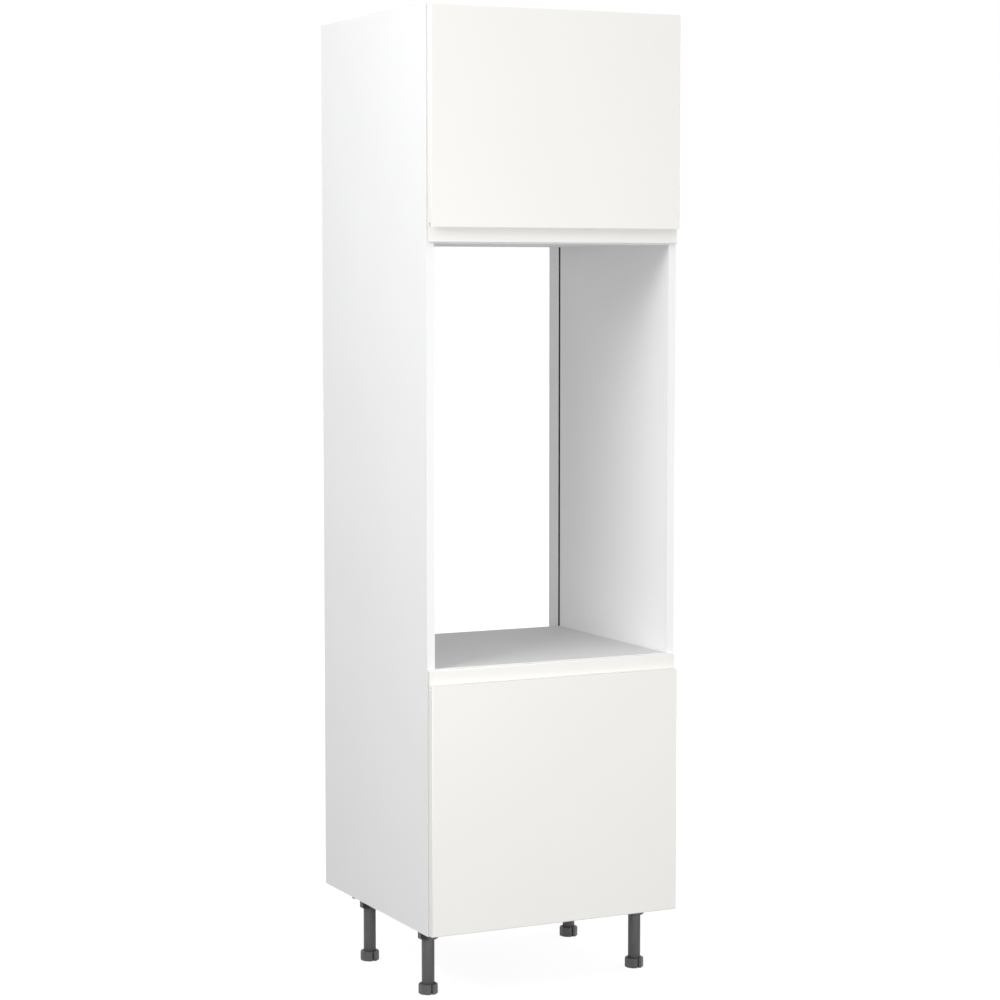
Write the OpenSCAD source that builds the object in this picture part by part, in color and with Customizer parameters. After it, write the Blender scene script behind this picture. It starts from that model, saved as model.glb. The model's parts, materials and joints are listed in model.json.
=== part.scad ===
// Tall kitchen housing for a built-in double oven.
// A white board carcass stands on four adjustable legs. It holds a cupboard, an open-backed
// oven space and a second cupboard, one above the other. Each cupboard has a door with a
// finger pull milled along its edge, and each door hangs on two concealed four-bar hinges.
// X runs across the front, Y from the front to the back and Z up. The origin is on the floor
// under the centre of the whole cabinet.

/* [Carcass] */
// Overall width of the cabinet
cabinet_w = 600; // [500:10:900]
// Height of the carcass without its legs
carcass_h = 1970; // [1900:10:2300]
// Depth of the carcass without its doors
carcass_d = 568; // [500:1:700]
// Thickness of the side boards, shelves, top and bottom
board_t = 18; // [16:1:22]
// Thickness of the tape on the front edges of the boards
tape_t = 1; // [0.5:0.1:2]
// Thickness of the back panels
back_t = 8; // [4:1:12]
// Depth of the grooves in the side boards that hold the back panels
groove_depth = 9; // [6:1:12]
// Free depth behind the back panels, for pipes and cables
service_gap = 48; // [45:1:80]

/* [Heights] */
// From the underside of the carcass to the top of the oven shelf
lower_h = 575; // [450:5:640]
// Clear height of the oven space
oven_h = 898; // [700:1:920]

/* [Doors] */
// Thickness of the doors
door_t = 18; // [17:1:22]
// Gap between a closed door and the front of the carcass
door_gap = 2; // [1.8:0.1:2.5]
// Margin between a door and the outline of the carcass
door_reveal = 2; // [1.5:0.5:3]
// Radius of the rounded edges round a door's front
door_round = 2; // [0.5:0.5:3]

/* [Finger pulls] */
// Height of the finger pull, from the end of the door to the lip
pull_h = 32; // [26:1:40]
// Depth of the finger pull behind the front of the door
pull_depth = 12; // [10:0.5:13]
// Height of the undercut behind the lip
undercut_h = 9; // [6:0.5:12]
// Depth over which the undercut slopes behind the lip
undercut_slope = 6; // [4:0.5:7]
// Thickness of the lip's edge
lip_t = 1; // [0.5:0.1:2]
// Radius of the undercut's root and of the pull's rounded end
pull_round = 2.5; // [1:0.5:3]

/* [Hinges] */
// Distance of each hinge from the end of its door
hinge_end = 100; // [80:5:140]
// Diameter of the hinge cup
cup_d = 35; // [34:0.5:36]
// Depth of the hinge cup in the door
cup_depth = 12.5; // [12.5:0.1:13.5]
// Thickness of the cup's wall and bottom
cup_wall = 1; // [0.8:0.1:1.2]
// Thickness of the cup's flange
flange_t = 1; // [0.8:0.1:1.2]
// Distance between the two screws of a cup
cup_screw_pitch = 48; // [46:1:52]
// Diameter of the hinge's pivot pins
pin_d = 1.8; // [1.6:0.1:1.9]
// Distance of the mounting plates' screws from the front of the carcass
plate_setback = 37; // [34:1:40]
// Distance between the two screws of a mounting plate
plate_screw_pitch = 32; // [30:1:36]

/* [Shelves] */
// Number of support holes in each column
hole_rows = 5; // [3:2:7]
// Distance between the support holes in a column
hole_pitch = 32; // [25:1:40]
// Diameter of the shelf supports' pins
support_d = 5; // [4:0.5:6]
// Space between the adjustable shelves and the cupboard's sides
shelf_play = 1; // [0.5:0.5:2]

/* [Dowels] */
// Diameter of the wooden dowels
dowel_d = 8; // [6:1:10]
// Length of the wooden dowels
dowel_l = 30; // [26:1:34]

/* [Legs] */
// Height from the floor to the underside of the carcass
leg_h = 150; // [120:1:200]
// Distance of a leg's centre from the side of the cabinet
leg_inset = 44; // [42:1:80]
// Distance of the front legs' centres from the front of the carcass
leg_front = 95; // [60:1:140]
// Distance of the rear legs' centres from the front of the carcass
leg_rear = 414; // [380:1:440]
// Diameter of the leg tube
tube_d = 28; // [24:1:30]
// Wall of the leg tube
tube_wall = 2.5; // [2:0.5:3]
// Width of the foot across its flats
foot_w = 39; // [37:1:44]
// Height of the foot
foot_h = 22; // [18:1:28]
// Width of the slots in the foot's front and back
slot_w = 4; // [3:0.5:5]
// Width of the socket across its flats
socket_w = 41; // [38:1:44]
// Height of the socket below the carcass
socket_h = 28; // [22:1:36]
// Travel of the foot's adjusting spindle
foot_travel = 30; // [10:1:40]

/* [Wall brackets] */
// Height of a wall bracket
bracket_h = 60; // [50:1:80]
// Width of a bracket's wall flange
bracket_w = 36; // [30:1:44]
// Thickness of the bracket's steel
bracket_t = 2; // [1.5:0.5:3]
// Distance between the two wall holes of a bracket
wall_hole_pitch = 32; // [26:1:38]
// Diameter of the wall holes
wall_hole_d = 6; // [5:0.5:7]

/* [Hidden] */

// Small overlap that lets a cut run past the face it opens
past = 0.1;
// Clearance of a part that fits another closely
close_fit = 0.1;
// Running clearance of a hinge's pins
run_fit = 0.05;
round_fn = 48;

white = "white";
raw_board = "tan";
steel = "lightsteelblue";
zinc = "silver";
dark_plastic = "dimgray";

// Frame of the carcass: its front plane is at y = 0 and its underside at z = 0
total_d = carcass_d + door_gap + door_t;
front_y = door_gap + door_t - total_d / 2;
half_w = cabinet_w / 2;
inner_x = half_w - board_t;
groove_w = back_t + 2 * close_fit;
groove_y = carcass_d - service_gap - groove_w;
deck_z = lower_h + oven_h;
shelf_z = lower_h - board_t;
top_z = carcass_h - board_t;
board_zs = [0, shelf_z, deck_z, top_z];

// Doors: x from the centre, z from the underside of the carcass
door_w = cabinet_w - 2 * door_reveal;
lower_door_z = door_reveal;
lower_door_h = lower_h - 2 * door_reveal;
upper_door_z = deck_z + door_reveal;
upper_door_h = carcass_h - door_reveal - upper_door_z;

// Dowels: their depth in the side boards, and their places along the depth
dowel_in_side = dowel_l / 3;
dowel_tip_play = 1;
dowel_front = 50;
dowel_ys = [dowel_front, groove_y / 2, groove_y - dowel_front];
dowel_tip = dowel_d / 8;

// Adjustable shelves and their supports
support_front = 37;
support_ys = [support_front, groove_y - support_front];
support_hole_depth = 12;
support_grip = 9;
support_collar_d = support_d + 4;
support_collar_t = 1.5;
support_spade_l = 11;
support_spade_t = 2.5;
shelf_setback = 22;
lower_hole_z = (board_t + shelf_z) / 2;
upper_hole_z = (deck_z + board_t + top_z) / 2;

// Back panels
back_w = 2 * (inner_x + groove_depth - 1);
back_y = groove_y + close_fit;
back_edge_gap = 1;
lower_back_z = back_edge_gap;
lower_back_top = shelf_z + board_t / 2;
upper_back_z = deck_z + board_t / 2;
upper_back_top = carcass_h - back_edge_gap;

// Door buffers
buffer_d = 9;
buffer_play = 0.3;
buffer_t = door_gap - buffer_play;
buffer_inset = board_t / 2;
buffer_end = 45;

// Heights of the hinges' middles above the underside of the carcass
upper_bottom_hinge_z = upper_door_z + hinge_end;
upper_top_hinge_z = upper_door_z + upper_door_h - hinge_end;
lower_bottom_hinge_z = lower_door_z + hinge_end;
lower_top_hinge_z = lower_door_z + lower_door_h - hinge_end;
upper_hinge_zs = [upper_bottom_hinge_z, upper_top_hinge_z];
lower_hinge_zs = [lower_bottom_hinge_z, lower_top_hinge_z];

// Pivots of the closed hinge, each [outwards, backwards] from the inner front corner of the side
// board. The inner link joins the first pair and the outer link the second. The outer link's eye
// round its cup pin has play, and stands off the pin by the shift given here.
inner_arm_pivot = [-26, 30];
inner_cup_pivot = [7, -6.2];
outer_arm_pivot = [-26.7, 2.3];
outer_cup_pivot = [2.7, -8.4];
inner_bend = [-6.2, -10.8];
outer_bends = [[-20.2, 1], [-8.4, -8.8]];
eye_shift = [-0.08, -1.03];
eye_play = 1.13;
link_w = 3.4;
arm_eye_r = 2.7;
bar_waist = 0.1;
eye_wall = 0.7;

// Heights of the hinge's layers from its middle: the inner link lies between the outer links
inner_link_half = 2.6;
outer_link_from = 3;
outer_link_to = 5.2;
cheek_from = 5.8;
sheet_t = 1.2;
cheek_to = cheek_from + sheet_t;

// Cup: its centre from the inner face of the side board, and its flange
cup_x = -5.5;
cup_rim = 1;
wing_w = 13;
wing_offset = 6;
wing_end = 6.5;
cup_screw_d = 3.5;
cup_screw_in = 10;

// Arm and mounting plate, in the same frame
arm_far = -29.5;
arm_near = -4;
arm_mouth = 34;
arm_end = 66;
rib_top = -14;
rib_from = 28;
rib_to = 60;
rib_half = cheek_from - 0.2;
wing_t = 2;
plate_wing_w = 14;
plate_wing_end = 8;
plate_screw_d = 5;
plate_screw_in = 11;
adjuster_d = 4;
adjuster_ys = [40, 54];

// Wall brackets and their screws
bracket_drop = 60;
bracket_z = carcass_h - bracket_drop;
bracket_leg = service_gap - back_t;
bracket_screw_y = carcass_d - bracket_leg / 2;
bracket_screw_pitch = bracket_h / 2;
bracket_screw_d = 4;
bracket_screw_l = 13;
wall_hole_x = inner_x - bracket_w / 2;
gusset = 16;

// Legs: lobes of the socket's flange, screws and spindle
lobe_reach = 33;
lobe_d = 18;
leg_screw_d = 3.8;
leg_screw_in = 14;
socket_flange_t = 4;
foot_play = 0.2;
spindle_l = foot_travel + 25;
slot_depth = 4.5;
foot_top_round = 3;
foot_base_round = 1.5;

module in_carcass() translate([0, front_y, leg_h]) children();
module left_and_right() {
    children();
    mirror([1, 0, 0]) children();
}

// ---- Boards ----

// A round bore along X, from one x to another
module x_bore(r, from_x, to_x, y, z)
    translate([from_x, y, z]) rotate([0, 90, 0])
        cylinder(r = r, h = to_x - from_x, $fn = round_fn);

// Bores for the dowels of one board in the right-hand side board and in the board's end
module dowel_bores(z)
    for (y = dowel_ys)
        x_bore(dowel_d / 2 + close_fit, inner_x - (dowel_l - dowel_in_side) - dowel_tip_play,
            inner_x + dowel_in_side + dowel_tip_play, y, z + board_t / 2);

// Support holes of one cupboard in the right-hand side board
module support_holes(middle_z)
    for (y = support_ys, row = [0 : hole_rows - 1])
        x_bore(support_d / 2 + close_fit, inner_x - past, inner_x + support_hole_depth, y,
            middle_z + (row - (hole_rows - 1) / 2) * hole_pitch);

// The right-hand side board, without what only one side has
module side_board()
    difference() {
        translate([inner_x, tape_t, 0]) cube([board_t, carcass_d - tape_t, carcass_h]);
        translate([inner_x - past, groove_y, -past])
            cube([groove_depth + past, groove_w, carcass_h + 2 * past]);
        for (z = board_zs) dowel_bores(z);
        support_holes(lower_hole_z);
        support_holes(upper_hole_z);
        bracket_screw_places() bracket_screw_pilot();
        leg_screw_pilots();
    }

// A board between the side boards, with its dowel bores
module cross_board(z)
    difference() {
        translate([-inner_x, tape_t, z]) cube([2 * inner_x, groove_y - tape_t, board_t]);
        left_and_right() dowel_bores(z);
    }

module left_side_panel() color(white) in_carcass() mirror([1, 0, 0]) side_board();

module right_side_panel()
    color(white) in_carcass() difference() {
        side_board();
        all_hinge_spots() plate_screw_pilots();
    }

module top_panel() color(white) in_carcass() cross_board(top_z);
module bottom_panel()
    color(white) in_carcass() difference() {
        cross_board(0);
        leg_screw_pilots();
        mirror([1, 0, 0]) leg_screw_pilots();
    }
module oven_shelf() color(white) in_carcass() cross_board(shelf_z);
module upper_deck() color(white) in_carcass() cross_board(deck_z);

module back_panel(from_z, to_z)
    color(white) in_carcass() translate([-back_w / 2, back_y, from_z])
        cube([back_w, back_t, to_z - from_z]);
module upper_back_panel() back_panel(upper_back_z, upper_back_top);
module lower_back_panel() back_panel(lower_back_z, lower_back_top);

// Tape along the front edges of the six boards
module front_edge_tapes()
    color(white) in_carcass() {
        left_and_right() translate([inner_x, 0, 0]) cube([board_t, tape_t, carcass_h]);
        for (z = board_zs) translate([close_fit - inner_x, 0, z])
            cube([2 * (inner_x - close_fit), tape_t, board_t]);
    }

// One dowel along X from its tip, with chamfered ends
module dowel()
    rotate([0, 90, 0]) {
        cylinder(r1 = dowel_d / 2 - dowel_tip, r2 = dowel_d / 2, h = dowel_tip, $fn = round_fn);
        translate([0, 0, dowel_tip])
            cylinder(r = dowel_d / 2, h = dowel_l - 2 * dowel_tip, $fn = round_fn);
        translate([0, 0, dowel_l - dowel_tip])
            cylinder(r1 = dowel_d / 2, r2 = dowel_d / 2 - dowel_tip, h = dowel_tip, $fn = round_fn);
    }

module carcass_dowels()
    color(raw_board) in_carcass() left_and_right()
        for (z = board_zs, y = dowel_ys)
            translate([inner_x + dowel_in_side - dowel_l, y, z + board_t / 2]) dowel();

// ---- Adjustable shelves ----

module adjustable_shelf(hole_z)
    color(white) in_carcass()
        translate([shelf_play - inner_x, shelf_setback, hole_z + support_d / 2])
            cube([2 * (inner_x - shelf_play), groove_y - shelf_setback - shelf_play, board_t]);
module upper_adjustable_shelf() adjustable_shelf(upper_hole_z);
module lower_adjustable_shelf() adjustable_shelf(lower_hole_z);

// A shelf support: a pin in the side board, a collar and a flat spade under the shelf
module shelf_support() {
    x_bore(support_d / 2, -support_collar_t, support_grip, 0, 0);
    difference() {
        x_bore(support_collar_d / 2, -support_collar_t, 0, 0, 0);
        translate([-2 * support_collar_t, -support_collar_d, support_d / 2])
            cube([3 * support_collar_t, 2 * support_collar_d, support_collar_d]);
    }
    translate([-support_spade_l, -support_collar_d / 2, support_d / 2 - support_spade_t])
        cube([support_spade_l - support_collar_t + past, support_collar_d, support_spade_t]);
}

module shelf_supports()
    color(zinc) in_carcass() left_and_right()
        for (z = [lower_hole_z, upper_hole_z], y = support_ys)
            translate([inner_x, y, z]) shelf_support();

// ---- Doors with their finger pulls ----

// Outline of a slab with rounded front corners: x along its width, y = 0 at its front
module slab_outline(w)
    difference() {
        square([w, door_t]);
        corner_cut(door_round);
        translate([w, 0]) mirror([1, 0]) corner_cut(door_round);
    }

// What the section of a door loses: x = depth behind its front, y = height above the end with the pull
module section_cuts(h) {
    pull_cut();
    translate([0, h]) mirror([0, 1]) corner_cut(door_round);
    translate([pull_depth, 0]) corner_cut(pull_round);
}

// What a quarter-round corner loses
module corner_cut(r)
    difference() {
        translate([-past, -past]) square(r + past);
        translate([r, r]) circle(r = r, $fn = round_fn);
    }

// The finger recess and the undercut behind its lip
module pull_cut() {
    undercut_top = pull_h + undercut_h;
    root = [pull_depth - pull_round, undercut_top - pull_round];
    polygon([
        [-past, -past], [-past, pull_h], [lip_t, pull_h], [undercut_slope, undercut_top],
        [root.x, undercut_top], [pull_depth, root.y], [pull_depth, -past]
    ]);
    translate(root) circle(r = pull_round, $fn = round_fn);
}

// A door standing at z = 0 with its pull at its lower end, in front of the carcass
module pull_door(h)
    translate([-door_w / 2, -door_gap - door_t, 0])
        difference() {
            linear_extrude(h) slab_outline(door_w);
            translate([-past, 0, 0]) rotate([90, 0, 90])
                linear_extrude(door_w + 2 * past) section_cuts(h);
        }

module upper_door()
    color(white) difference() {
        in_carcass() translate([0, 0, upper_door_z]) pull_door(upper_door_h);
        in_carcass() hinge_spots(upper_hinge_zs) cup_bores();
    }

module lower_door()
    color(white) difference() {
        in_carcass() translate([0, 0, lower_door_z + lower_door_h]) mirror([0, 0, 1])
            pull_door(lower_door_h);
        in_carcass() hinge_spots(lower_hinge_zs) cup_bores();
    }

module door_buffers(door_z, door_h)
    color("whitesmoke") in_carcass()
        for (z = [buffer_end, door_h - buffer_end])
            translate([buffer_inset - half_w, -door_gap, door_z + z])
                rotate([-90, 0, 0]) cylinder(d = buffer_d, h = buffer_t, $fn = round_fn);
module upper_door_buffers() door_buffers(upper_door_z, upper_door_h);
module lower_door_buffers() door_buffers(lower_door_z, lower_door_h);

// ---- Wall brackets ----

// Children at the height of the right-hand bracket's two screws and of its two wall holes
module bracket_screw_places()
    for (side = [-1, 1])
        translate([inner_x, bracket_screw_y, bracket_z + side * bracket_screw_pitch / 2]) children();
module wall_hole_places()
    for (side = [-1, 1])
        translate([wall_hole_x, carcass_d, bracket_z + side * wall_hole_pitch / 2]) children();

module bracket_screw_pilot()
    x_bore(bracket_screw_d / 2 + close_fit, -past, bracket_screw_l + past, 0, 0);

// A steel angle in the service space: one leg on the side board, the other flush with the back
module wall_bracket()
    difference() {
        union() {
            translate([inner_x - bracket_t, carcass_d - bracket_leg, bracket_z - bracket_h / 2])
                cube([bracket_t, bracket_leg, bracket_h]);
            translate([inner_x - bracket_w, carcass_d - bracket_t, bracket_z - bracket_h / 2])
                cube([bracket_w, bracket_t, bracket_h]);
            translate([inner_x - bracket_t, carcass_d - bracket_t, bracket_z - bracket_t / 2])
                linear_extrude(bracket_t) polygon([[0, 0], [-gusset, 0], [0, -gusset]]);
        }
        bracket_screw_places() x_bore(bracket_screw_d / 2 + close_fit, -bracket_t - past, past, 0, 0);
        wall_hole_places() rotate([90, 0, 0]) translate([0, 0, -past])
            cylinder(d = wall_hole_d, h = bracket_t + 2 * past, $fn = round_fn);
    }

module wall_brackets() color(zinc) in_carcass() left_and_right() wall_bracket();

// A screw along +Z from the underside of its round head
module pan_screw(shank_d, shank_l, head_d, head_t) {
    translate([0, 0, -head_t]) cylinder(d = head_d, h = head_t, $fn = round_fn);
    cylinder(d = shank_d, h = shank_l, $fn = round_fn);
}

module wall_bracket_screws()
    color(zinc) in_carcass() left_and_right() bracket_screw_places()
        translate([-bracket_t, 0, 0]) rotate([0, 90, 0])
            pan_screw(bracket_screw_d, bracket_screw_l, 2 * bracket_screw_d, bracket_t);

// ---- Legs ----

// Children on the axis of one leg, at the underside of the carcass; side is 1 on the right
module at_leg(side, y) translate([side * (half_w - leg_inset), y, 0]) children();

// Children at the middle of each of a socket's three lobes. One lobe points along X: inwards on
// a front leg, and outwards under the side board on a rear leg.
module lobe_places(outwards)
    for (turn = [0 : 120 : 240])
        rotate(turn + (outwards > 0 ? 0 : 180)) translate([lobe_reach, 0, 0]) children();

// Pilot bores for the screws of the right-hand legs
module leg_screw_pilots() {
    at_leg(1, leg_front) lobe_places(-1) leg_screw_pilot();
    at_leg(1, leg_rear) lobe_places(1) leg_screw_pilot();
}
module leg_screw_pilot()
    translate([0, 0, -past])
        cylinder(r = leg_screw_d / 2 + close_fit, h = leg_screw_in + 2 * past, $fn = round_fn);

// An upright octagon with its flats along X and Y
module octagon(w, h) rotate(22.5) cylinder(d = w / cos(22.5), h = h, $fn = 8);

module leg_socket(outwards)
    difference() {
        union() {
            translate([0, 0, -socket_flange_t]) {
                lobe_places(outwards) cylinder(d = lobe_d, h = socket_flange_t, $fn = round_fn);
                lobe_places(outwards) translate([-lobe_reach, -lobe_d / 2, 0])
                    cube([lobe_reach, lobe_d, socket_flange_t]);
            }
            translate([0, 0, -socket_h]) octagon(socket_w, socket_h);
        }
        translate([0, 0, -socket_h - past])
            cylinder(r = tube_d / 2 + close_fit, h = socket_h - socket_flange_t + past, $fn = round_fn);
        lobe_places(outwards) translate([0, 0, -socket_flange_t - past])
            cylinder(r = leg_screw_d / 2 + close_fit, h = socket_flange_t + 2 * past, $fn = round_fn);
    }

module leg_tube() {
    from_z = foot_h + foot_play - leg_h;
    to_z = -socket_flange_t - close_fit;
    translate([0, 0, from_z]) difference() {
        cylinder(d = tube_d, h = to_z - from_z, $fn = round_fn);
        translate([0, 0, -past])
            cylinder(r = tube_d / 2 - tube_wall, h = to_z - from_z + 2 * past, $fn = round_fn);
    }
}

// A foot with its adjusting spindle, which slides down out of the tube as it is turned
module leg_foot()
    translate([0, 0, -leg_h]) {
        difference() {
            intersection() {
                octagon(foot_w, foot_h);
                rotate_extrude($fn = round_fn) foot_profile();
            }
            for (turn = [90, 270]) rotate(turn)
                translate([foot_w / 2 - slot_depth, -slot_w / 2, -past])
                    cube([slot_depth + past, slot_w, foot_h + 2 * past]);
        }
        translate([0, 0, foot_h - past])
            cylinder(r = tube_d / 2 - tube_wall - close_fit, h = spindle_l + past, $fn = round_fn);
    }

// Half section of the disc that rounds the foot's corners off. It is a little wider than the corners.
module foot_profile() {
    r = foot_w / cos(22.5) / 2 + past;
    difference() {
        square([r, foot_h]);
        translate([r, foot_h]) mirror([1, 0]) mirror([0, 1]) corner_cut(foot_top_round);
        translate([r, 0]) mirror([1, 0]) corner_cut(foot_base_round);
    }
}

module dark_at_leg(side, y) color(dark_plastic) in_carcass() at_leg(side, y) children();

module front_left_leg_socket() dark_at_leg(-1, leg_front) leg_socket(1);
module front_right_leg_socket() dark_at_leg(1, leg_front) leg_socket(-1);
module rear_left_leg_socket() dark_at_leg(-1, leg_rear) leg_socket(-1);
module rear_right_leg_socket() dark_at_leg(1, leg_rear) leg_socket(1);
module front_left_leg_tube() dark_at_leg(-1, leg_front) leg_tube();
module front_right_leg_tube() dark_at_leg(1, leg_front) leg_tube();
module rear_left_leg_tube() dark_at_leg(-1, leg_rear) leg_tube();
module rear_right_leg_tube() dark_at_leg(1, leg_rear) leg_tube();
module front_left_foot() dark_at_leg(-1, leg_front) leg_foot();
module front_right_foot() dark_at_leg(1, leg_front) leg_foot();
module rear_left_foot() dark_at_leg(-1, leg_rear) leg_foot();
module rear_right_foot() dark_at_leg(1, leg_rear) leg_foot();

module leg_screws()
    color(zinc) in_carcass() left_and_right() {
        at_leg(1, leg_front) lobe_places(-1) leg_screw();
        at_leg(1, leg_rear) lobe_places(1) leg_screw();
    }
module leg_screw()
    translate([0, 0, -socket_flange_t])
        pan_screw(leg_screw_d, leg_screw_in + socket_flange_t - 1, 2 * leg_screw_d,
            socket_flange_t / 1.5);

// ---- Concealed hinges ----
// A hinge's own frame has its origin on the inner front corner of the right-hand side board, at
// half the hinge's height. There x runs outwards, y backwards and z up.

module hinge_spots(zs) for (z = zs) translate([inner_x, 0, z]) children();
module all_hinge_spots() hinge_spots(concat(upper_hinge_zs, lower_hinge_zs)) children();

// A plate between two heights, and the same with its mirror image below
module layer(from_z, to_z) translate([0, 0, from_z]) linear_extrude(to_z - from_z) children();
module two_layers(from_z, to_z) {
    layer(from_z, to_z) children();
    mirror([0, 0, 1]) layer(from_z, to_z) children();
}

// Outline of a bar with round ends, which are a little wider than the bar
module bar(from, to, w) {
    along = to - from;
    bar_w = w - 2 * bar_waist;
    translate(from) rotate(atan2(along.y, along.x)) translate([0, -bar_w / 2])
        square([norm(along), bar_w]);
    for (end = [from, to]) translate(end) circle(d = w, $fn = round_fn);
}
module eye(at, r) translate(at) circle(r = r, $fn = round_fn);

// A pin along Z between two heights, and the bore that it turns in or is riveted in
module pin(at, from_z, to_z)
    translate([at.x, at.y, from_z]) cylinder(d = pin_d, h = to_z - from_z, $fn = round_fn);
module pin_bore(at, half)
    translate([at.x, at.y, -half]) cylinder(r = pin_d / 2 + run_fit, h = 2 * half, $fn = round_fn);
module two_stub_pins(at, from_z, to_z) {
    pin(at, from_z, to_z);
    pin(at, -to_z, -from_z);
}

// Half the length of a pin whose ends lie flush in the cup's round wall
function cup_pin_half(at) = sqrt(pow(cup_d / 2, 2) - pow(abs(at.x - cup_x) + pin_d / 2, 2));

// A piece along -Y from the depth y, drawn with x outwards and y up
module pressed(y) translate([0, y, 0]) rotate([90, 0, 0]) children();

module cup_wing_outline()
    for (end = [-1, 1])
        bar([cup_x - wing_offset, 0], [cup_x - wing_offset, end * cup_screw_pitch / 2], wing_w);

module cup_screw_spots()
    for (end = [-1, 1])
        translate([cup_x - wing_offset, flange_t - door_gap, end * cup_screw_pitch / 2]) children();

module hinge_cup()
    difference() {
        union() {
            pressed(-door_gap) translate([cup_x, 0, 0])
                cylinder(d = cup_d, h = cup_depth, $fn = round_fn);
            pressed(flange_t - door_gap) linear_extrude(flange_t) {
                translate([cup_x, 0]) circle(d = cup_d + 2 * cup_rim, $fn = round_fn);
                cup_wing_outline();
            }
        }
        pressed(flange_t - door_gap + past) translate([cup_x, 0, 0])
            cylinder(d = cup_d - 2 * cup_wall, h = cup_depth + flange_t - cup_wall + past,
                $fn = round_fn);
        pin_bore(inner_cup_pivot, cup_d);
        pin_bore(outer_cup_pivot, cup_d);
        cup_screw_spots() pressed(past)
            cylinder(r = cup_screw_d / 2 + close_fit, h = flange_t + 2 * past, $fn = round_fn);
    }

// What a door loses for its cups and their screws
module cup_bores() {
    pressed(past - door_gap) translate([cup_x, 0, 0])
        cylinder(r = cup_d / 2 + close_fit, h = cup_depth + close_fit + past, $fn = round_fn);
    cup_screw_spots() pressed(0)
        cylinder(r = cup_screw_d / 2 + close_fit, h = flange_t + cup_screw_in + past, $fn = round_fn);
}

module cup_screw()
    rotate([90, 0, 0]) pan_screw(cup_screw_d, flange_t + cup_screw_in, 2 * cup_screw_d, flange_t);

module cup_pins() {
    pin(inner_cup_pivot, -cup_pin_half(inner_cup_pivot), cup_pin_half(inner_cup_pivot));
    two_stub_pins(outer_cup_pivot, outer_link_from, cup_pin_half(outer_cup_pivot));
}

// The link in the middle of the hinge, which turns about a whole pin at each end
module inner_link()
    difference() {
        layer(-inner_link_half, inner_link_half) {
            bar(inner_arm_pivot, inner_bend, link_w);
            bar(inner_bend, inner_cup_pivot, link_w);
            eye(inner_arm_pivot, pin_d / 2 + run_fit + 2 * eye_wall);
        }
        pin_bore(inner_arm_pivot, inner_link_half + past);
        pin_bore(inner_cup_pivot, inner_link_half + past);
    }

// A pair of link plates on either side of it, with play round their cup pins
module outer_link() {
    open_eye = outer_cup_pivot + eye_shift;
    eye_bore_r = pin_d / 2 + eye_play;
    two_layers(outer_link_from, outer_link_to) difference() {
        union() {
            bar(outer_arm_pivot, outer_bends[0], link_w);
            bar(outer_bends[0], outer_bends[1], link_w);
            bar(outer_bends[1], open_eye, link_w);
            eye(open_eye, eye_bore_r + eye_wall);
        }
        eye(open_eye, eye_bore_r);
        eye(outer_arm_pivot, pin_d / 2 + run_fit);
    }
}

// Side of the arm: two eyes, and a channel that straddles the mounting plate
module arm_cheek() {
    bar(outer_arm_pivot, inner_arm_pivot, 2 * arm_eye_r);
    bar(outer_arm_pivot, [arm_near - arm_eye_r, arm_mouth + arm_eye_r], 2 * arm_eye_r);
    polygon([
        outer_arm_pivot, inner_arm_pivot, [arm_far, arm_mouth], [arm_far, arm_end],
        [arm_near, arm_end - arm_eye_r], [arm_near, arm_mouth + arm_eye_r]
    ]);
}

module hinge_arm()
    difference() {
        union() {
            two_layers(cheek_from, cheek_to) arm_cheek();
            translate([arm_far, arm_mouth, -cheek_to])
                cube([sheet_t, arm_end - arm_mouth, 2 * cheek_to]);
        }
        pin_bore(inner_arm_pivot, cheek_to + past);
        pin_bore(outer_arm_pivot, cheek_to + past);
        adjuster_spots() rotate([0, 90, 0]) translate([0, 0, -past])
            cylinder(r = adjuster_d / 2 + close_fit, h = sheet_t + 2 * past, $fn = round_fn);
    }

module arm_pins() {
    pin(inner_arm_pivot, -cheek_to, cheek_to);
    two_stub_pins(outer_arm_pivot, outer_link_from, cheek_to);
}

module adjuster_spots() for (y = adjuster_ys) translate([arm_far, y, 0]) children();
module adjuster()
    rotate([0, 90, 0]) pan_screw(adjuster_d, rib_top - arm_far - close_fit, 1.8 * adjuster_d, sheet_t);

module plate_screw_spots()
    for (end = [-1, 1]) translate([-wing_t, plate_setback, end * plate_screw_pitch / 2]) children();

// The mounting plate: a wing with two screws, and the rib that the arm straddles
module hinge_plate()
    difference() {
        union() {
            translate([-wing_t, 0, 0]) rotate([90, 0, 90]) linear_extrude(wing_t) {
                wing_z = plate_screw_pitch / 2 + plate_wing_end - plate_wing_w / 2;
                bar([plate_setback, -wing_z], [plate_setback, wing_z], plate_wing_w);
                translate([rib_from, -rib_half - 2 * wing_t])
                    square([rib_to - rib_from, 2 * rib_half + 4 * wing_t]);
            }
            translate([rib_top, rib_from, -rib_half]) cube([-rib_top, rib_to - rib_from, 2 * rib_half]);
        }
        plate_screw_spots() rotate([0, 90, 0]) translate([0, 0, -past])
            cylinder(r = plate_screw_d / 2 + close_fit, h = wing_t + 2 * past, $fn = round_fn);
    }

module plate_screw_pilots()
    plate_screw_spots() rotate([0, 90, 0])
        cylinder(r = plate_screw_d / 2 + close_fit, h = wing_t + plate_screw_in + past, $fn = round_fn);
module plate_screw()
    rotate([0, 90, 0]) pan_screw(plate_screw_d, wing_t + plate_screw_in, 1.6 * plate_screw_d, wing_t);

module at_hinge(z) color(zinc) in_carcass() hinge_spots([z]) children();

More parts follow.
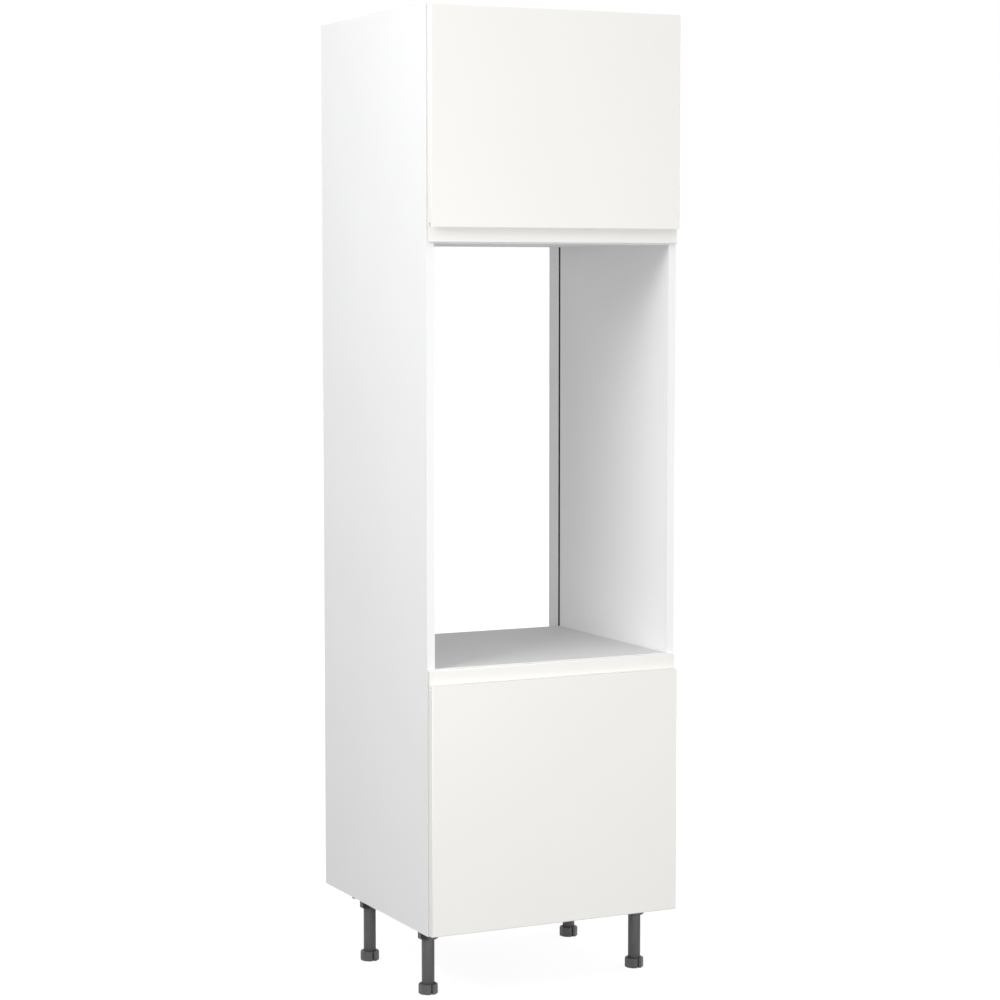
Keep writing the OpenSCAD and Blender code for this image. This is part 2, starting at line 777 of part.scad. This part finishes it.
module upper_door_top_hinge_cup() at_hinge(upper_top_hinge_z) hinge_cup();
module upper_door_bottom_hinge_cup() at_hinge(upper_bottom_hinge_z) hinge_cup();
module lower_door_top_hinge_cup() at_hinge(lower_top_hinge_z) hinge_cup();
module lower_door_bottom_hinge_cup() at_hinge(lower_bottom_hinge_z) hinge_cup();
module upper_door_top_hinge_arm() at_hinge(upper_top_hinge_z) hinge_arm();
module upper_door_bottom_hinge_arm() at_hinge(upper_bottom_hinge_z) hinge_arm();
module lower_door_top_hinge_arm() at_hinge(lower_top_hinge_z) hinge_arm();
module lower_door_bottom_hinge_arm() at_hinge(lower_bottom_hinge_z) hinge_arm();
module upper_door_top_hinge_plate() at_hinge(upper_top_hinge_z) hinge_plate();
module upper_door_bottom_hinge_plate() at_hinge(upper_bottom_hinge_z) hinge_plate();
module lower_door_top_hinge_plate() at_hinge(lower_top_hinge_z) hinge_plate();
module lower_door_bottom_hinge_plate() at_hinge(lower_bottom_hinge_z) hinge_plate();
module upper_door_top_outer_link() at_hinge(upper_top_hinge_z) outer_link();
module upper_door_bottom_outer_link() at_hinge(upper_bottom_hinge_z) outer_link();
module lower_door_top_outer_link() at_hinge(lower_top_hinge_z) outer_link();
module lower_door_bottom_outer_link() at_hinge(lower_bottom_hinge_z) outer_link();
module upper_door_top_inner_link() at_hinge(upper_top_hinge_z) inner_link();
module upper_door_bottom_inner_link() at_hinge(upper_bottom_hinge_z) inner_link();
module lower_door_top_inner_link() at_hinge(lower_top_hinge_z) inner_link();
module lower_door_bottom_inner_link() at_hinge(lower_bottom_hinge_z) inner_link();
module hinge_arm_pins() color(steel) in_carcass() all_hinge_spots() arm_pins();
module upper_door_cup_pins() color(steel) in_carcass() hinge_spots(upper_hinge_zs) cup_pins();
module lower_door_cup_pins() color(steel) in_carcass() hinge_spots(lower_hinge_zs) cup_pins();
module hinge_plate_screws()
    color(steel) in_carcass() all_hinge_spots() plate_screw_spots() plate_screw();
module hinge_adjusting_screws()
    color(steel) in_carcass() all_hinge_spots() adjuster_spots() adjuster();
module cup_screws(zs) color(steel) in_carcass() hinge_spots(zs) cup_screw_spots() cup_screw();
module upper_door_cup_screws() cup_screws(upper_hinge_zs);
module lower_door_cup_screws() cup_screws(lower_hinge_zs);

left_side_panel();
right_side_panel();
top_panel();
bottom_panel();
oven_shelf();
upper_deck();
upper_back_panel();
lower_back_panel();
front_edge_tapes();
carcass_dowels();
upper_adjustable_shelf();
lower_adjustable_shelf();
shelf_supports();
wall_brackets();
wall_bracket_screws();
upper_door();
lower_door();
upper_door_buffers();
lower_door_buffers();
upper_door_top_hinge_cup();
upper_door_bottom_hinge_cup();
lower_door_top_hinge_cup();
lower_door_bottom_hinge_cup();
upper_door_top_hinge_arm();
upper_door_bottom_hinge_arm();
lower_door_top_hinge_arm();
lower_door_bottom_hinge_arm();
upper_door_top_hinge_plate();
upper_door_bottom_hinge_plate();
lower_door_top_hinge_plate();
lower_door_bottom_hinge_plate();
upper_door_top_outer_link();
upper_door_bottom_outer_link();
lower_door_top_outer_link();
lower_door_bottom_outer_link();
upper_door_top_inner_link();
upper_door_bottom_inner_link();
lower_door_top_inner_link();
lower_door_bottom_inner_link();
hinge_arm_pins();
upper_door_cup_pins();
lower_door_cup_pins();
hinge_plate_screws();
hinge_adjusting_screws();
upper_door_cup_screws();
lower_door_cup_screws();
front_left_leg_socket();
front_right_leg_socket();
rear_left_leg_socket();
rear_right_leg_socket();
front_left_leg_tube();
front_right_leg_tube();
rear_left_leg_tube();
rear_right_leg_tube();
front_left_foot();
front_right_foot();
rear_left_foot();
rear_right_foot();
leg_screws();
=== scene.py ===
"""Looks of a tall kitchen housing for a built-in double oven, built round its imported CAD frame."""

import json
import math

import bmesh
import bpy
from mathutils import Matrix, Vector


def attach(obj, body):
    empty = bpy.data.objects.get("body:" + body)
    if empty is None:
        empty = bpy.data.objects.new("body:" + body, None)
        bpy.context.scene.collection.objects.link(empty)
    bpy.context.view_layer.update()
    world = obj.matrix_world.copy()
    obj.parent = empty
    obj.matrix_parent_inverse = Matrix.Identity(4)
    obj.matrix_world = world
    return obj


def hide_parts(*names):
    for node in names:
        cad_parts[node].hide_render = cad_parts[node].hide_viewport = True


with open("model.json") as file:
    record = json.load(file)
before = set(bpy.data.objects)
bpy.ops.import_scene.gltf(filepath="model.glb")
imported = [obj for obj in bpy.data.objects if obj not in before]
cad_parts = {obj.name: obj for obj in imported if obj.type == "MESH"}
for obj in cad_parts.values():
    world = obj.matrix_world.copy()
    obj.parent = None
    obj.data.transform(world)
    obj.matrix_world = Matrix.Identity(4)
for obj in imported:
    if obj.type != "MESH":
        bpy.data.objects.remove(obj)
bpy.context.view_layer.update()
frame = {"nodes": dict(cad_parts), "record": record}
nodes = frame["nodes"]

# ---- Camera, at the photograph's angle ----

CAMERA_PLACE = (-2.62392, -5.34555, 1.54903)
# Radians that it looks down, and radians that it is turned round the upright axis
CAMERA_DOWN, CAMERA_ROUND = 0.08298, -0.45727
CAMERA_LENS = 95.76
CAMERA_SENSOR = 36
CAMERA_NEAR = 0.05

camera_data = bpy.data.cameras.new("camera")
camera_data.lens = CAMERA_LENS
camera_data.sensor_width = CAMERA_SENSOR
camera_data.clip_start = CAMERA_NEAR
camera = bpy.data.objects.new("camera", camera_data)
camera.location = CAMERA_PLACE
camera.rotation_euler = (math.pi / 2 - CAMERA_DOWN, 0, CAMERA_ROUND)
bpy.context.scene.collection.objects.link(camera)
bpy.context.scene.camera = camera
bpy.context.scene.view_settings.view_transform = "Standard"

# ---- Materials ----

# Linear colours. A pair gives the ends of a slow change over the surface.
WHITE_BOARD = ((0.89, 0.892, 0.896), (0.905, 0.907, 0.91))
# The same white melamine made darker: painted shade for the oven shelf, which lies in shade under
# the upper deck
SHELF_SHADED_WHITE = ((0.68, 0.682, 0.686), (0.7, 0.702, 0.706))
WARM_WHITE = ((0.858, 0.846, 0.815), (0.87, 0.858, 0.828))
DARK_GREY = ((0.074, 0.074, 0.076), (0.096, 0.096, 0.098))
ZINC = ((0.5, 0.52, 0.54), (0.64, 0.66, 0.68))
NICKEL = ((0.6, 0.58, 0.55), (0.7, 0.68, 0.65))
BEECH = ((0.56, 0.36, 0.2), (0.72, 0.52, 0.33))
BUFFER_CLEAR = (0.86, 0.88, 0.9)
# Raw chipboard brown darkened to near-black: painted shade for the inside of the groove that holds
# the back board
GROOVE_SHADE_BROWN = (0.03, 0.02, 0.014)
RAW_DARK = (0.1, 0.06, 0.033)
RAW_LIGHT = (0.36, 0.25, 0.15)
RAW_BINDER = (0.16, 0.1, 0.06)

# Share of a noise's range that carries its change
NOISE_LOW, NOISE_HIGH = 0.3, 0.7


class Shader:
    """A material's node tree, with a short way to add and join its nodes."""

    def __init__(self, name):
        self.material = bpy.data.materials.new(name)
        self.material.use_nodes = True
        self.tree = self.material.node_tree
        self.tree.nodes.clear()
        self.out = self.tree.nodes.new("ShaderNodeOutputMaterial")

    def add(self, kind, settings=None, inputs=None):
        node = self.tree.nodes.new("ShaderNode" + kind)
        for key, value in (settings or {}).items():
            setattr(node, key, value)
        for key, value in (inputs or {}).items():
            self.feed(node.inputs[key], value)
        return node

    def feed(self, socket, value):
        if isinstance(value, bpy.types.NodeSocket):
            self.tree.links.new(value, socket)
        elif isinstance(value, tuple) and len(value) == 3 and socket.type == "RGBA":
            socket.default_value = (*value, 1)
        else:
            socket.default_value = value

    def place(self):
        return self.add("TexCoord").outputs["Object"]

    def axis(self, name):
        return self.add("SeparateXYZ", inputs={"Vector": self.place()}).outputs[name]

    def noise(self, scale, detail=3, roughness=0.5, stretch=None):
        place = self.place()
        if stretch:
            mapping = self.add("Mapping", inputs={"Vector": place, "Scale": stretch})
            place = mapping.outputs[0]
        return self.add("TexNoise", inputs={
            "Vector": place, "Scale": scale, "Detail": detail, "Roughness": roughness,
        }).outputs["Fac"]

    def math(self, operation, a, b=0.0):
        node = self.add("Math", {"operation": operation})
        self.feed(node.inputs[0], a)
        self.feed(node.inputs[1], b)
        return node.outputs[0]

    def between(self, fac, low, high, to_low, to_high):
        return self.add("MapRange", inputs={
            "Value": fac, "From Min": low, "From Max": high, "To Min": to_low, "To Max": to_high,
        }).outputs[0]

    def spread(self, noise, low, high):
        """A number that goes from low to high with the noise."""
        return self.between(noise, NOISE_LOW, NOISE_HIGH, low, high)

    def mix(self, fac, a, b):
        node = self.add("Mix", {"data_type": "RGBA"})
        self.feed(node.inputs["Factor"], fac)
        self.feed(node.inputs["A"], a)
        self.feed(node.inputs["B"], b)
        return node.outputs["Result"]

    def tint(self, noise, pair):
        """A colour that goes from one end of the pair to the other with the noise."""
        return self.mix(self.spread(noise, 0.0, 1.0), *pair)

    def bump(self, height, distance, strength):
        return self.add("Bump", inputs={
            "Height": height, "Distance": distance, "Strength": strength,
        }).outputs["Normal"]

    def surface(self, **inputs):
        shader = self.add("BsdfPrincipled", inputs={
            key.replace("_", " "): value for key, value in inputs.items()
        })
        self.tree.links.new(shader.outputs[0], self.out.inputs["Surface"])
        return self.material


# Noise scales, per metre
CHIP_SCALE, SPLINTER_SCALE = 520.0, 1500.0
PEARL_SCALE, BOARD_CLOUD_SCALE = 700.0, 3.0
PEEL_SCALE, LACQUER_CLOUD_SCALE = 350.0, 2.0
SPARK_SCALE, PLASTIC_CLOUD_SCALE = 1400.0, 25.0
PLATING_SCALE, METAL_GRAIN_SCALE = 120.0, 2500.0
WOOD_GRAIN_SCALE, WOOD_GRAIN_STRETCH = 60.0, (0.2, 6.0, 6.0)
HAZE_SCALE = 400.0

# Limits of the splinters' noise between which the binder comes in, and its largest share
BINDER_LOW, BINDER_HIGH, BINDER_SHARE = 0.35, 0.65, 0.5
RAW_ROUGHNESS = 0.85
RAW_RELIEF = 4.0


def chipboard(s):
    """Colour and height of cut chipboard: pale and dark chips in a brown binder."""
    chips = s.add("TexVoronoi", {"feature": "F1"}, {
        "Vector": s.place(), "Scale": CHIP_SCALE, "Randomness": 1.0,
    })
    splinters = s.noise(SPLINTER_SCALE, detail=3, roughness=0.7)
    tone = s.add("SeparateColor", inputs={"Color": chips.outputs["Color"]}).outputs["Red"]
    colour = s.mix(tone, RAW_DARK, RAW_LIGHT)
    binder = s.between(splinters, BINDER_LOW, BINDER_HIGH, 0.0, BINDER_SHARE)
    colour = s.mix(binder, colour, RAW_BINDER)
    return colour, s.math("ADD", chips.outputs["Distance"], splinters)


def band(s, value, low, high):
    """1 where the value lies between two limits, and 0 outside them."""
    above = s.math("GREATER_THAN", value, low)
    return s.math("MULTIPLY", above, s.math("LESS_THAN", value, high))


def board(name, core=None, white=WHITE_BOARD, rough=0.58, shine=0.3, shaded_groove=None):
    """White melamine-faced board. core gives the axis across the board, and the limits in metres
    between which it is cut chipboard. The last argument gives the limits in Y of the groove, where
    the chipboard is painted near-black: raw brown board darkened as painted shade for the groove."""
    s = Shader(name)
    pearl = s.noise(PEARL_SCALE, detail=2, roughness=0.6)
    colour = s.tint(s.noise(BOARD_CLOUD_SCALE, detail=4), white)
    roughness = s.spread(pearl, rough, rough + 0.08)
    height = pearl
    if core:
        axis, low, high = core
        along = s.axis(axis)
        if axis == "X":
            along = s.math("ABSOLUTE", along)
        raw = band(s, along, low, high)
        chips, relief = chipboard(s)
        # Painted shade: inside the groove the raw chipboard is turned near-black brown
        if shaded_groove:
            chips = s.mix(band(s, s.axis("Y"), *shaded_groove), chips, GROOVE_SHADE_BROWN)
        colour = s.mix(raw, colour, chips)
        roughness = s.math("MAXIMUM", roughness, s.math("MULTIPLY", raw, RAW_ROUGHNESS))
        relief = s.math("MULTIPLY", relief, RAW_RELIEF)
        height = s.math("ADD", height, s.math("MULTIPLY", raw, relief))
    return s.surface(Base_Color=colour, Roughness=roughness, Specular_IOR_Level=shine,
                     Normal=s.bump(height, distance=0.00003, strength=0.4))


def lacquer():
    s = Shader("lacquer")
    peel = s.noise(PEEL_SCALE, detail=2)
    return s.surface(Base_Color=s.tint(s.noise(LACQUER_CLOUD_SCALE), WARM_WHITE),
                     Roughness=s.spread(peel, 0.3, 0.38),
                     Normal=s.bump(peel, distance=0.00003, strength=0.25))


def dark_plastic():
    s = Shader("dark_plastic")
    spark = s.noise(SPARK_SCALE, roughness=0.6)
    return s.surface(Base_Color=s.tint(s.noise(PLASTIC_CLOUD_SCALE), DARK_GREY),
                     Roughness=s.spread(spark, 0.42, 0.55),
                     Normal=s.bump(spark, distance=0.00006, strength=0.5))


def metal(name, colours, rough):
    s = Shader(name)
    plating = s.noise(PLATING_SCALE, detail=4)
    grain = s.noise(METAL_GRAIN_SCALE, detail=2)
    return s.surface(Base_Color=s.tint(plating, colours), Metallic=1.0,
                     Roughness=s.spread(plating, rough, rough + 0.12),
                     Normal=s.bump(grain, distance=0.00002, strength=0.3))


def beech():
    s = Shader("beech")
    grain = s.noise(WOOD_GRAIN_SCALE, detail=6, roughness=0.6, stretch=WOOD_GRAIN_STRETCH)
    return s.surface(Base_Color=s.tint(grain, BEECH), Roughness=0.6,
                     Normal=s.bump(grain, distance=0.0001, strength=0.5))


def soft_buffer():
    s = Shader("soft_buffer")
    haze = s.noise(HAZE_SCALE, detail=2)
    return s.surface(Base_Color=BUFFER_CLEAR, Roughness=s.spread(haze, 0.2, 0.35),
                     Transmission_Weight=0.6, IOR=1.45)


# Where the boards are raw between their white faces, in metres in the record's frame
SIDE_CORE = ("X", 0.2822, 0.2998)
BACK_CORE = ("Y", 0.2381, 0.2457)
CROSS_BOARD_Z = {"bottom_panel": 0.15, "oven_shelf": 0.707, "upper_deck": 1.623, "top_panel": 2.102}
BOARD_T = 0.018
SKIN = 0.0002
# Limits in Y of the groove in the side panels, where the chipboard is painted dark as shade
GROOVE = (0.2373, 0.2465)


def cross_core(name):
    """Raw limits in Z of a board that lies flat."""
    z = CROSS_BOARD_Z[name]
    return "Z", z + SKIN, z + BOARD_T - SKIN


MATERIALS = {
    "white_board": board("white_board"),
    "door_lacquer": lacquer(),
    "back_board": board("back_board", BACK_CORE),
    "edge_tape": board("edge_tape"),
    "dowel_wood": beech(),
    "buffer": soft_buffer(),
    "leg_plastic": dark_plastic(),
    "zinc_steel": metal("zinc_steel", ZINC, rough=0.3),
    "hinge_steel": metal("hinge_steel", NICKEL, rough=0.2),
}
side_board = board("side_board", SIDE_CORE, shaded_groove=GROOVE)
OWN_MATERIAL = {
    "left_side_panel": side_board,
    "right_side_panel": side_board,
    "bottom_panel": board("bottom_panel", cross_core("bottom_panel")),
    # The oven shelf gets the darker white, as painted shade
    "oven_shelf": board("oven_shelf", cross_core("oven_shelf"), SHELF_SHADED_WHITE, rough=0.65, shine=0.2),
    "upper_deck": board("upper_deck", cross_core("upper_deck")),
    "top_panel": board("top_panel", cross_core("top_panel")),
}
SLOT_OF = {part["node"]: part["material_slot"] for part in frame["record"]["subparts"]}
for name, node in nodes.items():
    for slot in node.material_slots:
        slot.material = OWN_MATERIAL.get(name, MATERIALS[SLOT_OF[name]])

# ---- Softened edges of the CAD nodes ----

EDGE_WIDTHS = {
    "white_board": 0.00025, "door_lacquer": 0.0003, "back_board": 0.0002, "edge_tape": 0.0002,
    "leg_plastic": 0.0006, "zinc_steel": 0.0002, "hinge_steel": 0.00015,
}
WELD_DISTANCE = 0.00001
FLAT_ANGLE = math.radians(0.5)
EDGE_ANGLE = math.radians(30)


def soften(node, width):
    """Welds the node's mesh, joins its flat faces and rounds its sharp edges, by modifiers."""
    weld = node.modifiers.new("weld", "WELD")
    weld.merge_threshold = WELD_DISTANCE
    flats = node.modifiers.new("flats", "DECIMATE")
    flats.decimate_type = "DISSOLVE"
    flats.angle_limit = FLAT_ANGLE
    bevel = node.modifiers.new("bevel", "BEVEL")
    bevel.width = width
    bevel.segments = 2
    bevel.limit_method = "ANGLE"
    bevel.angle_limit = EDGE_ANGLE
    bevel.harden_normals = True


for name, node in nodes.items():
    if SLOT_OF[name] in EDGE_WIDTHS:
        soften(node, EDGE_WIDTHS[SLOT_OF[name]])

# ---- Detailed pieces that stand for CAD nodes ----

SHARP_ANGLE = math.radians(38)
MERGE_DISTANCE = 0.000001


def limits(points):
    """Lowest and highest corner of the box round some points."""
    low = Vector([min(p[i] for p in points) for i in range(3)])
    high = Vector([max(p[i] for p in points) for i in range(3)])
    return low, high


def low_corner(points):
    """Lowest corner of the box round some points, rounded to sort solids by."""
    return tuple(round(value, 5) for value in limits(points)[0])


def islands(node):
    """Corner points of each separate solid in a CAD node, as lists of vectors."""
    mesh = bmesh.new()
    mesh.from_mesh(node.data)
    bmesh.ops.remove_doubles(mesh, verts=mesh.verts, dist=MERGE_DISTANCE)
    left = set(mesh.verts)
    found = []
    while left:
        front = [left.pop()]
        group = []
        while front:
            vert = front.pop()
            group.append(vert.co.copy())
            for edge in vert.link_edges:
                other = edge.other_vert(vert)
                if other in left:
                    left.remove(other)
                    front.append(other)
        found.append(group)
    mesh.free()
    return sorted(found, key=low_corner)


def frame_along(direction):
    """Turns +Z to a direction along one of the axes."""
    return Vector((0, 0, 1)).rotation_difference(Vector(direction)).to_matrix()


def lathe(mesh, profile, turn, place, segments):
    """Adds a body of revolution. profile lists (radius, height), and its ends have radius 0."""
    rings = []
    for radius, height in profile:
        if radius == 0:
            rings.append([mesh.verts.new(place + turn @ Vector((0, 0, height)))])
            continue
        ring = []
        for i in range(segments):
            angle = 2 * math.pi * i / segments
            point = Vector((radius * math.cos(angle), radius * math.sin(angle), height))
            ring.append(mesh.verts.new(place + turn @ point))
        rings.append(ring)
    for low, high in zip(rings, rings[1:]):
        for i in range(segments):
            corners = [low[i % len(low)], low[(i + 1) % len(low)],
                       high[(i + 1) % len(high)], high[i % len(high)]]
            mesh.faces.new(list(dict.fromkeys(corners)))
    return rings


# Cross recess: its arms' length and half width as shares of the head's radius, how much of each
# is sloped, and its depth as a share of the head's thickness
RECESS_ARM, RECESS_HALF_WIDTH = 0.52, 0.13
ARM_SLOPE, SIDE_SLOPE = 0.25, 0.35
RECESS_DEPTH = 0.5


def cross_depth(x, y, head_r):
    """How deep the recess is at a point of a screw's head, as a share of its full depth."""
    arm, slot = RECESS_ARM * head_r, RECESS_HALF_WIDTH * head_r
    deepest = 0.0
    for along, across in ((abs(x), abs(y)), (abs(y), abs(x))):
        arm_share = (arm - along) / (ARM_SLOPE * arm)
        side_share = (slot - across) / (SIDE_SLOPE * slot)
        deepest = max(deepest, min(arm_share, side_share, 1.0))
    return deepest


THREAD_PITCH = 0.0016
SCREW_SEGMENTS = 32
END_TOLERANCE = 0.00001
# Points this far out, as a share of the head's radius, belong to the head
HEAD_SHARE = 0.9
# Tip, thread and neck, as shares of the shank's radius
TIP_END_RADIUS, TIP_RADIUS, TIP_HEIGHT = 0.35, 0.8, 0.35
THREAD_START, THREAD_ROOT, NECK_RADIUS = 1.2, 0.78, 0.85
CHAMFER = 0.0002
# Head: radii and the rim's corner as shares of its radius, heights as shares of its thickness
RIM_BASE_RADIUS, RIM_CORNER, RIM_HEIGHT = 0.96, 0.06, 0.62
CROWN_RADIUS, CROWN_HEIGHT = 0.94, 0.3
TOP_RADII = (0.85, 0.74, 0.63, 0.55, 0.47, 0.39, 0.31, 0.24, 0.18, 0.12, 0.06)


def screw_profile(length, head_t, head_r, shank_r):
    """Radius and height of a screw, from its tip up to the head's rim, and over its crown."""
    neck_r = NECK_RADIUS * shank_r
    rim = [(0, -length), (TIP_END_RADIUS * shank_r, -length + CHAMFER),
           (TIP_RADIUS * shank_r, -length + TIP_HEIGHT * shank_r)]
    height = -length + THREAD_START * shank_r
    while height < -head_t - THREAD_PITCH:
        rim += [(THREAD_ROOT * shank_r, height), (shank_r, height + 0.5 * THREAD_PITCH)]
        height += THREAD_PITCH
    rim += [(neck_r, -head_t - CHAMFER), (neck_r, -head_t), (RIM_BASE_RADIUS * head_r, -head_t),
            (head_r, -head_t + RIM_CORNER * head_r), (head_r, -RIM_HEIGHT * head_t),
            (CROWN_RADIUS * head_r, -CROWN_HEIGHT * head_t)]
    crown = []
    for r in TOP_RADII:
        rise = math.sqrt(1 - (r / CROWN_RADIUS) ** 2)
        crown.append((r * head_r, -CROWN_HEIGHT * head_t + CROWN_HEIGHT * head_t * rise))
    return rim, crown + [(0, 0)]


def screw(mesh, points):
    """Adds a pan-head screw with a cross recess and a thread in the place of a plain one."""
    low, high = limits(points)
    size = high - low
    axis = max(range(3), key=lambda i: size[i])
    side = (axis + 1) % 3
    middle = (low + high) / 2

    def reach(p):
        return abs(p[side] - middle[side])

    at_low = max(reach(p) for p in points if p[axis] < low[axis] + END_TOLERANCE)
    at_high = max(reach(p) for p in points if p[axis] > high[axis] - END_TOLERANCE)
    head_r, shank_r = max(at_low, at_high), min(at_low, at_high)
    points_up = at_high > at_low
    direction = [0, 0, 0]
    direction[axis] = 1 if points_up else -1
    head_end = middle.copy()
    head_end[axis] = high[axis] if points_up else low[axis]
    wide = [p[axis] for p in points if reach(p) > HEAD_SHARE * head_r]
    head_t = max(wide) - min(wide)
    turn = frame_along(direction)
    rim, crown = screw_profile(size[axis], head_t, head_r, shank_r)
    rings = lathe(mesh, rim + crown, turn, head_end, SCREW_SEGMENTS)
    for ring in rings[len(rim):]:
        for vert in ring:
            flat = turn.transposed() @ (vert.co - head_end)
            depth = RECESS_DEPTH * head_t * cross_depth(flat.x, flat.y, head_r)
            vert.co -= turn @ Vector((0, 0, depth))


DOME_SEGMENTS = 40
DOME_STEPS = 10
# Foot ring and dome of a buffer, as shares of its radius and thickness
RING_BASE_RADIUS, RING_CORNER, RING_HEIGHT = 0.96, 0.04, 0.25
RING_TOP_RADIUS, RING_TOP_HEIGHT = 0.97, 0.32
DOME_RADIUS, DOME_FULLNESS = 0.88, 0.6
DOME_START, DOME_RISE = 0.34, 0.66


def dome(mesh, points):
    """Adds a soft buffer with a domed face and a foot ring in the place of a plain disc."""
    low, high = limits(points)
    radius, thick = (high.x - low.x) / 2, high.y - low.y
    base = Vector(((low.x + high.x) / 2, low.y, (low.z + high.z) / 2))
    profile = [(0, 0), (RING_BASE_RADIUS * radius, 0), (radius, RING_CORNER * radius),
               (radius, RING_HEIGHT * thick), (RING_TOP_RADIUS * radius, RING_TOP_HEIGHT * thick)]
    for i in range(DOME_STEPS):
        angle = math.pi / 2 * i / DOME_STEPS
        out = DOME_RADIUS * radius * math.cos(angle) ** DOME_FULLNESS
        profile.append((out, thick * (DOME_START + DOME_RISE * math.sin(angle))))
    lathe(mesh, profile + [(0, thick)], frame_along((0, 1, 0)), base, DOME_SEGMENTS)


def piece(name, build, node_name, body):
    """Makes one piece from every solid of a CAD node, hangs it on a body and hides the node it
    stands for.
    """
    mesh = bmesh.new()
    for points in islands(nodes[node_name]):
        build(mesh, points)
    bmesh.ops.recalc_face_normals(mesh, faces=mesh.faces)
    for face in mesh.faces:
        face.smooth = True
    data = bpy.data.meshes.new(name)
    mesh.to_mesh(data)
    mesh.free()
    data.set_sharp_from_angle(angle=SHARP_ANGLE)
    slot = SLOT_OF[node_name]
    data.materials.append(MATERIALS[slot])
    obj = bpy.data.objects.new(name, data)
    bpy.context.scene.collection.objects.link(obj)
    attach(obj, body)
    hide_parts(node_name)


for node_name in ("hinge_plate_screws", "hinge_adjusting_screws", "wall_bracket_screws",
                  "leg_screws"):
    piece("detailed_" + node_name, screw, node_name, "carcass")
for door in ("upper_door", "lower_door"):
    piece(f"detailed_{door}_cup_screws", screw, door + "_cup_screws", door)
    piece(f"domed_{door}_buffers", dome, door + "_buffers", door)

# ---- Floor, lamps and world ----

WHITE = (1, 1, 1)
FLOOR_REACH = 30
FLOOR_DROP = 0.0005
FLOOR_COLOUR = (0.24, 0.24, 0.24)
# How much of the white world the camera sees through the floor near the object and beyond, and
# where one turns into the other
NEAR_CLEAR, FAR_CLEAR = 0.9, 1.0
NEAR_RADIUS, FAR_RADIUS = 0.9, 3.0
WORLD_STRENGTH = 0.475
BACKGROUND_STRENGTH = 1.0

# Name, place, target, size, power in watts, colour
LAMPS = [
    ("overhead", (0, -0.5, 4.6), (0, 0, 1.2), (3.0, 3.0), 19, WHITE),
    ("near_left", (-2.8, -1.2, 3.0), (0, 0, 1.3), (1.6, 1.6), 61, WHITE),
    ("low_left", (-3.2, -3.6, 0.9), (0, 0, 1.0), (2.0, 1.7), 42, WHITE),
    ("low_front", (0.6, -4.4, 0.8), (0, 0, 0.8), (2.4, 1.4), 60, WHITE),
    ("high_right", (2.2, -2.2, 4.7), (0, 0, 1.2), (2.4, 2.0), 23, (1, 0.985, 0.98)),
    ("right", (4.2, 0.0, 2.0), (0, 0, 1.2), (2.4, 2.4), 32, WHITE),
    ("rear", (-2.8, 4.0, 3.0), (0, 0, 1.2), (2.4, 2.4), 13, WHITE),
]


def seen_directly(tree):
    """1 for camera, mirror and see-through rays, so that metal shows the white background too,
    and 0 for light."""
    path = tree.nodes.new("ShaderNodeLightPath")
    total = path.outputs["Is Camera Ray"]
    for ray in ("Is Glossy Ray", "Is Transmission Ray"):
        add = tree.nodes.new("ShaderNodeMath")
        add.operation = "ADD"
        add.use_clamp = True
        tree.links.new(total, add.inputs[0])
        tree.links.new(path.outputs[ray], add.inputs[1])
        total = add.outputs[0]
    return total


def plain_floor():
    """Pale floor with the object's shadow on it. Light stops at it, and the camera sees the white
    world through it, and a foot that is screwed down past it."""
    s = Shader("floor")
    cloth = s.add("BsdfDiffuse", inputs={"Color": FLOOR_COLOUR})
    length = s.add("VectorMath", {"operation": "LENGTH"}, {"Vector": s.place()})
    radius = length.outputs["Value"]
    share = s.between(radius, NEAR_RADIUS, FAR_RADIUS, NEAR_CLEAR, FAR_CLEAR)
    clearness = s.math("MULTIPLY", seen_directly(s.tree), share)
    clear = s.add("BsdfTransparent", inputs={"Color": clearness})
    both = s.add("AddShader")
    s.tree.links.new(cloth.outputs[0], both.inputs[0])
    s.tree.links.new(clear.outputs[0], both.inputs[1])
    s.tree.links.new(both.outputs[0], s.out.inputs["Surface"])
    return s.material


floor_mesh = bpy.data.meshes.new("floor")
floor_corners = [(FLOOR_REACH * x, FLOOR_REACH * y, 0)
                 for x, y in ((-1, -1), (1, -1), (1, 1), (-1, 1))]
floor_mesh.from_pydata(floor_corners, [], [(0, 1, 2, 3)])
floor_mesh.materials.append(plain_floor())
floor = bpy.data.objects.new("floor", floor_mesh)
floor.location.z = -FLOOR_DROP
bpy.context.scene.collection.objects.link(floor)

world = bpy.data.worlds.new("world")
bpy.context.scene.world = world
world.use_nodes = True
world_tree = world.node_tree
level = world_tree.nodes.new("ShaderNodeMix")
level.data_type = "FLOAT"
level.inputs["A"].default_value = WORLD_STRENGTH
level.inputs["B"].default_value = BACKGROUND_STRENGTH
background = world_tree.nodes["Background"]
background.inputs["Color"].default_value = (*WHITE, 1)
world_tree.links.new(seen_directly(world_tree), level.inputs["Factor"])
world_tree.links.new(level.outputs["Result"], background.inputs["Strength"])

for name, place, target, size, power, colour in LAMPS:
    lamp = bpy.data.lights.new(name, "AREA")
    lamp.shape = "RECTANGLE"
    lamp.size, lamp.size_y = size
    lamp.energy = power
    lamp.color = colour
    lamp_object = bpy.data.objects.new(name, lamp)
    lamp_object.location = place
    aim = Vector(target) - Vector(place)
    lamp_object.rotation_euler = aim.to_track_quat("-Z", "Y").to_euler()
    bpy.context.scene.collection.objects.link(lamp_object)
